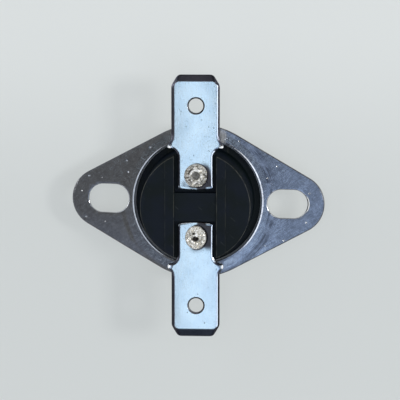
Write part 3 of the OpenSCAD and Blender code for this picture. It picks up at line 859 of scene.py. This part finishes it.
def terminal_top(p, side, burr_glint, neck_y):
    """Height of the terminal's upper face: a little dished and bent down at its inner end, with a burr on each
    wing's tip."""
    dish = 0
    if side > 0:
        dish = 0.022 * math.exp(-((p.x + 0.9) / 0.9) ** 2 - ((p.y - RIVET_Y + 1.15) / 0.9) ** 2)
    droop = 0.03 * max(0, neck_y + 0.8 - p.y) ** 2
    wave = 0.006 * noise.noise(Vector((p.x * 0.3, p.y * 0.3, 7.7)))
    (x, y), (reach_x, reach_y) = burr_glint
    lump = 0.22 * math.exp(-((abs(p.x) - x) / reach_x) ** 2 - ((p.y - y) / reach_y) ** 2)
    return TERMINAL_TOP_Z - dish - droop + wave + lump


def rivet_painted_shade(p, side, neck_y):
    """Painted shade on the plate round its rivet, for the dark that the plate mirrors there: wide on one side, with
    the inner end's edge left bright, and a painted shadow in a thin line against the rivet."""
    off = Vector((p.x * side, p.y - RIVET_Y))
    r = max(off.length, 0.01)
    if side > 0:
        spread = smooth_step(-0.5, 0.45, (0.8 * off.x - 0.6 * off.y) / r)
        spread *= 1 - smooth_step(1.75, 2.5, r) * smooth_step(-0.5, 0.5, off.y)
    else:
        spread = smooth_step(0.1, 0.5, (0.95 * off.x - 0.3 * off.y) / r) * smooth_step(2.3, 0.9, off.y)
        below = smooth_step(2.5, 1.5, r) * smooth_step(-0.2, 0.5, off.y / r) * smooth_step(-0.8, 0, off.x / r)
        spread = max(spread, 0.55 * below)
    end_y = neck_y + NECK_BULGE * (2 * p.x / NECK_W) ** 2
    at_end = smooth_step(0.34, 0.22, p.y - end_y)
    at_end *= 1 - smooth_step(0, 0.4, off.x) * smooth_step(1.6, 1.3, off.x)
    # Painted shadow in a thin line against the rivet
    line = smooth_step(1.76, 1.58, r) * smooth_step(-0.6, 0.4, off.x / r)
    return spread * (1 - at_end) * smooth_step(2.14, 1.98, off.x) + line


def terminal_blade(name, material, lower):
    """Push-on terminal: bevelled tab with its hole, wings and a neck under the rivet."""
    side, burr_glint, neck_y = (-1, LOWER_BURR_GLINT, LOWER_NECK_Y) if lower else (1, UPPER_BURR_GLINT, NECK_Y)
    hole_centre = Vector((TAB_HOLE_SHIFT * side, TAB_HOLE_Y + (0 if lower else TAB_HOLE_SHIFT)))
    tab_hole = circle(hole_centre, TAB_HOLE_R, 64)
    rivet_hole = circle((0, RIVET_Y), RIVET_HOLE_R, 40)
    count = len(tab_hole)
    chamfer = inset_loop(tab_hole, [TAB_HOLE_CHAMFER] * count, True)
    # Painted shade on the tab hole's chamfer, darker on one side
    edge_paint_weight = [0.88 + 0.12 * side * (p - hole_centre).x / TAB_HOLE_R for p in tab_hole]
    rims = [
        terminal_rim(side, burr_glint, neck_y, LOWER_TIP_BEVEL if lower else TAB_TIP_BEVEL),
        Rim(tab_hole, chamfer, [TAB_HOLE_CHAMFER] * count, [CRISP_BEVEL] * count, edge_paint_weight),
        even_rim(rivet_hole, 0.03, 0.03, hole=True),
    ]
    low, high = Vector((-WING_W / 2, neck_y)), Vector((WING_W / 2, TAB_TIP_Y))
    painted_shade_top = RIVET_Y + PAINTED_SHADE_REACH
    inner = [p for p in grid_points(low, high, 0.25) if p.y > painted_shade_top]
    inner += grid_points(low, Vector((NECK_W / 2, painted_shade_top)), 0.1)
    for reach in (0.25, 0.35):
        inner += circle(hole_centre, TAB_HOLE_R + reach, 64)
    bm = pressed_plate(
        rims, inner, lambda p: terminal_top(p, side, burr_glint, neck_y), lambda p: TERMINAL_TOP_Z - TAB_T
    )
    # Painted shade round the rivet
    stain = bm.verts.layers.float.new("stain")
    for v in bm.verts:
        v[stain] = rivet_painted_shade(v.co.xy, side, neck_y) if v.co.y < painted_shade_top else 0
    if lower:
        bmesh.ops.rotate(bm, verts=bm.verts, cent=(0, 0, 0), matrix=Matrix.Rotation(math.pi, 3, "Z"))
    return finish_mesh(name, bm, material)


def crumbs(x, y, seed):
    """Crumpled metal in cells about one unit wide, each raised and tilted its own way: height, gap and a
    value of the cell's own."""
    place = Vector((x, y, seed))
    distances, points = noise.voronoi(place)
    tilt = 2 * noise.cell_vector(points[0] * 9.7) - Vector((1, 1, 1))
    off = place - points[0]
    gap = smooth_step(0.17, 0, distances[1] - distances[0])
    return 0.15 * tilt.z + 1.3 * (tilt.x * off.x + tilt.y * off.y) - 0.25 * gap, gap, tilt.z


def upper_head(x, y, r):
    """The upper rivet's rolled head: two broken rings, a groove between them and a shallow recess. Gives its
    height, how dark it is, with a painted shadow at its rim, and a painted highlight on its inner ring."""
    height, gap, cell = crumbs(x / 0.66, y / 0.3, 3.3)
    rings = 0.05 * math.exp(-((r - 0.68) / 0.15) ** 2) - 0.08 * math.exp(-((r - 1.0) / 0.1) ** 2)
    recess = smooth_step(0.6, 0.48, r)
    patch = smooth_step(-0.15, 0.25, noise.noise(Vector((x * 2.4, y * 2.4, 1.7))))
    groove = math.exp(-((r - 1.0) / 0.15) ** 2) * patch
    rough = 1 - 0.85 * recess
    # Painted shadow round the head's rim
    rim_shadow = 0.4 * smooth_step(1.1, 1.25, r)
    dirt = max(0.93 * gap * rough, 0.95 * groove, 0.86 * recess, 0.55 * cell * rough, rim_shadow)
    # Painted highlight: a broken bright ring round the recess
    broken = smooth_step(0, 0.25, noise.noise(Vector((x * 2.9, y * 2.9, 4.4))))
    bright = 0.8 * math.exp(-((r - 0.75) / 0.12) ** 2) * broken
    return rings - 0.16 * recess + 0.2 * rough * height, dirt, bright


def lower_head(x, y, r):
    """The lower rivet's head: fine bright crumbs round a torn bore with painted shade and a painted glint on a sliver
    in it.
    """
    height, gap, cell = crumbs(x / 0.27, y / 0.27, 8.1)
    bore = smooth_step(1.15, 0.75, math.hypot((x + 0.09) / 0.46, (y + 0.2) / 0.34))
    pit = smooth_step(1.2, 0.7, math.hypot((x + 0.32) / 0.19, (y - 0.5) / 0.15))
    sliver = smooth_step(1.2, 0.7, math.hypot((x - 0.09) / 0.17, (y - 0.33) / 0.24))
    # Painted shade in the torn bore and the pit
    torn = max(bore, pit) * (1 - sliver)
    dirt = max(0.7 * gap * (1 - sliver), 0.3 * cell * (1 - sliver), torn)
    return 0.14 * height - 0.32 * torn + 0.1 * sliver, dirt, sliver


def rough_rivet(name, material, lower):
    """Tubular rivet with a crumpled rolled head."""
    foot_z = box_mm("rivet_lower" if lower else "rivet_upper")[0].z + RIVET_FOOT_T
    head = lower_head if lower else upper_head
    centre = Vector((RIVET_SHIFT, -RIVET_Y if lower else RIVET_Y, 0))
    shaded_way = Vector((1, 0, 0)) if lower else Vector((0.75, -0.66, 0))
    top = TERMINAL_TOP_Z + RIVET_HEAD_H - RIVET_CRUMPLE
    roll = RIVET_HEAD_H * 0.5
    sunk_z = TERMINAL_TOP_Z - RIVET_SINK
    circles = int((RIVET_HEAD_R - roll) / RIVET_STEP)
    profile = [Vector((RIVET_MIDDLE_R + RIVET_STEP * i, top)) for i in range(circles)]
    profile += arc((RIVET_HEAD_R - roll, top - roll), roll, 90, -10, 10)
    profile += [Vector((RIVET_FOOT_R, sunk_z)), Vector((RIVET_SHANK_R, sunk_z))]
    profile += [Vector((RIVET_SHANK_R, foot_z)), Vector((RIVET_FOOT_R, foot_z))]
    profile += [Vector((RIVET_FOOT_R, foot_z - RIVET_FOOT_T)), Vector((RIVET_MIDDLE_R, foot_z - RIVET_FOOT_T))]
    bm = bmesh.new()
    darkening_layer = bm.verts.layers.float.new("dirt")
    painted_glint_layer = bm.verts.layers.float.new("sliver")
    rows = []
    for p in profile:
        on_head = smooth_step(top - roll, top - 0.3 * roll, p.y)
        row = []
        for i in range(RIVET_AROUND):
            angle = 2 * math.pi * i / RIVET_AROUND
            outward = Vector((math.cos(angle), math.sin(angle), 0))
            swell = 1 + 0.03 * on_head * noise.noise(outward * 1.6 + Vector((0, 0, 5 if lower else 2)))
            spot = outward * p.x * swell
            if lower and p.y > TERMINAL_TOP_Z - 0.3:
                spot.x *= LOWER_HEAD_NARROW
            height, dirt, sliver = head(spot.x, spot.y, p.x) if on_head else (0, 0, 0)
            made = bm.verts.new(centre + spot + Vector((0, 0, p.y + on_head * height)))
            # Painted shade along the head's rim on one side
            painted_shade = smooth_step(RIVET_HEAD_R - 0.17, RIVET_HEAD_R - 0.07, p.x)
            painted_shade *= smooth_step(0.1, 0.7, outward.dot(shaded_way))
            made[darkening_layer] = max(on_head * dirt, painted_shade)
            made[painted_glint_layer] = on_head * sliver
            row.append(made)
        rows.append(row)
    for a, b in zip(rows, rows[1:]):
        for i in range(RIVET_AROUND):
            j = (i + 1) % RIVET_AROUND
            bm.faces.new((a[i], a[j], b[j], b[i]))
    bm.faces.new(rows[0])
    bm.faces.new(rows[-1])
    return finish_mesh(name, bm, material)


def contact_leaf(material):
    """Contact spring: a thin leaf with a round end, a hole for its rivet and one for its contact."""
    half = SPRING_W / 2
    end_y = SPRING_HIGH.y - half
    contact_low, contact_high = box_mm("moving_contact")
    contact_y = (contact_low.y + contact_high.y) / 2 / math.cos(BODY_TURN)
    back_y = SPRING_LOW.y + SPRING_BACK_GAP
    outline = [Vector((-half, back_y)), Vector((half, back_y))]
    outline += arc((0, end_y), half, 0, 180, 24)
    rims = [
        even_rim(divided(outline, 0.2), *SPRING_EDGE),
        even_rim(circle((0, -RIVET_Y), RIVET_HOLE_R, 40), *SPRING_EDGE, hole=True),
        even_rim(circle((0, contact_y), CONTACT_HOLE_R, 32), *SPRING_EDGE, hole=True),
    ]
    inner = grid_points(Vector((-half, SPRING_LOW.y)), Vector((half, SPRING_HIGH.y)), 0.2)
    bm = pressed_plate(rims, inner, lambda p: SPRING_HIGH.z, lambda p: SPRING_LOW.z)
    return finish_mesh("contact_leaf", bm, material)


def flex_leaf(leaf):
    """The leaf's place is baked into its mesh, and the CAD spring is hidden."""
    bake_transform(leaf)
    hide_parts("contact_spring")


def dress_node(node, material, bevel_mm=0.0):
    """A CAD piece keeps its shape and gets its finish, with its sharp edges eased if asked."""
    piece = frame["nodes"][node]
    piece.data.materials.clear()
    piece.data.materials.append(material)
    if bevel_mm:
        bevel = piece.modifiers.new("eased_edges", "BEVEL")
        bevel.width = bevel_mm * MM
        bevel.segments = 2
        bevel.limit_method = "ANGLE"
        bevel.angle_limit = math.radians(40)


def place_piece(piece, body, node):
    """A piece built here rides on a body and takes a CAD node's place."""
    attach(piece, body)
    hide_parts(node)


def build_object():
    terminal = plated_terminal()
    rivet = rolled_rivet()
    place_piece(bracket_plate(plated_bracket()), "bracket", "mounting_bracket")
    for lower, word in ((False, "upper"), (True, "lower")):
        blade = terminal_blade(f"terminal_blade_{word}", terminal, lower)
        place_piece(blade, "case", f"terminal_{word}")
        head = rough_rivet(f"tubular_rivet_{word}", rivet, lower)
        place_piece(head, "case", f"rivet_{word}")
    dress_node("base", moulded_phenolic(), BASE_BEVEL)
    dress_node("sensing_cap", drawn_aluminium())
    silver = inner_metal("contact_silver", srgb(196, 196, 192), srgb(226, 226, 222))
    dress_node("fixed_contact_plate", inner_metal("strip_brass", srgb(176, 136, 62), srgb(206, 168, 92)))
    dress_node("fixed_contact", silver)
    dress_node("moving_contact", silver)
    flex_leaf(contact_leaf(inner_metal("spring_bronze", srgb(158, 104, 62), srgb(188, 132, 86))))
    dress_node("push_pin", inner_moulding("pin_ceramic", srgb(214, 211, 200), srgb(232, 230, 222)))
    dress_node("guide_plate", inner_moulding("guide_moulding", srgb(62, 36, 22), srgb(84, 52, 32)))
    dress_node("bimetal_disc", inner_metal("disc_bimetal", srgb(142, 146, 150), srgb(172, 176, 180)))


# Photograph: directions as seen in the picture, in the part's frame
PICTURE_RIGHT = Vector((math.cos(BODY_TURN), math.sin(BODY_TURN), 0))
PICTURE_UP = Vector((-math.sin(BODY_TURN), math.cos(BODY_TURN), 0))
CAMERA_DISTANCE = 280
CAMERA_LEAN_RIGHT = math.radians(3.3)
CAMERA_LEAN_UP = math.radians(7.2)
PICTURE_WIDTH = 53.33
PICTURE_CENTRE = (0.24, 0.09)
EAR_MID_Z = 4.25


def in_picture(right, up, height):
    """A point given by its place in the picture, in millimetres from the part's axis, in metres."""
    return (PICTURE_RIGHT * right + PICTURE_UP * up + Vector((0, 0, height))) * MM


def make_camera():
    data = bpy.data.cameras.new("photo_camera")
    data.sensor_width = 36
    data.lens = data.sensor_width * CAMERA_DISTANCE / PICTURE_WIDTH
    data.clip_start, data.clip_end = 0.01, 20
    camera = bpy.data.objects.new("photo_camera", data)
    target = in_picture(*PICTURE_CENTRE, EAR_MID_Z)
    back = PICTURE_RIGHT * math.sin(CAMERA_LEAN_RIGHT) + PICTURE_UP * math.sin(CAMERA_LEAN_UP)
    back.z = math.sqrt(1 - back.length_squared)
    side = PICTURE_UP.cross(back).normalized()
    camera.matrix_world = Matrix.Translation(target + back * CAMERA_DISTANCE * MM) @ Matrix(
        (side, back.cross(side), back)).transposed().to_4x4()
    bpy.context.scene.collection.objects.link(camera)
    bpy.context.scene.camera = camera


def area_lamp(name, place_mm, size_mm, watts, colour, shines=True, shades=True):
    """A lamp that faces the part; one that doesn't shine is left out of reflections, and one that doesn't
    shade casts no shadow."""
    data = bpy.data.lights.new(name, "AREA")
    data.shape = "RECTANGLE"
    data.size, data.size_y = (value * MM for value in size_mm)
    data.energy = watts
    data.color = colour
    data.use_shadow = shades
    lamp = bpy.data.objects.new(name, data)
    place = in_picture(*place_mm)
    away = place.normalized()
    side = PICTURE_UP.cross(away).normalized()
    lamp.matrix_world = Matrix.Translation(place) @ Matrix((side, away.cross(side), away)).transposed().to_4x4()
    lamp.visible_camera = False
    lamp.visible_glossy = shines
    bpy.context.scene.collection.objects.link(lamp)


def light_studio():
    """Strips and panels that the flats and edges mirror, soft light from above, a lamp from the right that casts
    the shadows, and fill lamps."""
    area_lamp("overhead_strip", (-19, -100, 330), (18, 460), 0.0313, (0.68, 0.86, 1.0))
    area_lamp("overhead_panel", (101, -130, 332), (218, 200), 0.0588, (0.46, 0.64, 1.0))
    area_lamp("upper_panel", (102, 15, 332), (216, 90), 0.0238, (0.48, 0.65, 1.0))
    area_lamp("lower_right_panel", (2, -67, 331), (22, 40), 0.0016, (0.46, 0.64, 1.0))
    area_lamp("tip_panel", (-19, 130, 330), (60, 60), 0.0115, (1.0, 0.96, 0.95))
    area_lamp("lower_left_panel", (-61, -70, 331), (58, 44), 0.0008, (0.42, 0.58, 1.0))
    area_lamp("left_overhead", (-82, -40, 330), (70, 380), 0.0069, (0.92, 0.96, 1.0))
    area_lamp("edge_strip", (140, -20, 325), (80, 320), 0.11, (0.95, 0.98, 1.0))
    area_lamp("left_panel", (-268, 35, 382), (182, 730), 0.39, (0.8, 0.88, 1.0), shades=False)
    area_lamp("soft_overhead", (0, 60, 600), (300, 300), 0.62, (1.0, 1.0, 0.98), shines=False)
    area_lamp("right_lamp", (669, 110, 740), (170, 170), 3.1, (1.0, 0.99, 0.97))
    area_lamp("far_right_lamp", (950, 150, 500), (340, 340), 1.8, (1.0, 0.99, 0.97), shades=False)
    area_lamp("left_lamp", (-930, 210, 500), (340, 340), 1.6, (1.0, 1.0, 1.0), shades=False)


def make_world():
    """Dim room, lighter low down and further up in its corners."""
    world = bpy.data.worlds.new("studio")
    bpy.context.scene.world = world
    sh = Shader(world)
    direction = sh.node("ShaderNodeTexCoord", out="Generated")
    x, y, height = sh.parts(direction)
    corner = sh.window(abs(2 * x * y) / (x * x + y * y), 0.3, 0.75)
    room = sh.mix(sh.window(height - 0.2 * corner, 0.42, 0.6), (0.5, 0.51, 0.52), (0.05, 0.05, 0.05))
    background = sh.node("ShaderNodeBackground", None, {"Color": room, "Strength": 1.0})
    sh.node("ShaderNodeOutputWorld", None, {"Surface": background})


# Table's colour below and above the part in the picture, darker below as painted shade, and how much of
# it is its own light where it is seen
TABLE_NEAR = (0.65, 0.68, 0.675)
TABLE_FAR = (0.735, 0.765, 0.76)
TABLE_GLOW = 0.6
BLACK = (0, 0, 0)


def make_floor():
    """Plain pale table top, part of its brightness its own where it is seen or mirrored, so that shadows stay light."""
    sh = new_finish("pale_table")
    at = sh.place()
    cloud = sh.noise(at, 40, 3)
    # Painted shade: the table is darker below the part in the picture than above it
    tone = sh.mix(sh.window(sh.parts(at)[1] + 0.01 * cloud, 0.0, 0.03), TABLE_NEAR, TABLE_FAR)
    own = TABLE_GLOW * sh.seen()
    material = sh.surface(
        Base_Color=sh.mix(own, tone, BLACK), Emission_Color=sh.mix(own, BLACK, tone),
        Emission_Strength=0.95, Roughness=0.6 + 0.1 * cloud, Specular_IOR_Level=0.1,
    )
    bm = bmesh.new()
    bmesh.ops.create_grid(bm, x_segments=4, y_segments=4, size=1500)
    floor = finish_mesh("table_top", bm, material)


build_object()
make_camera()
light_studio()
make_world()
make_floor()
bpy.context.scene.view_settings.view_transform = "Standard"
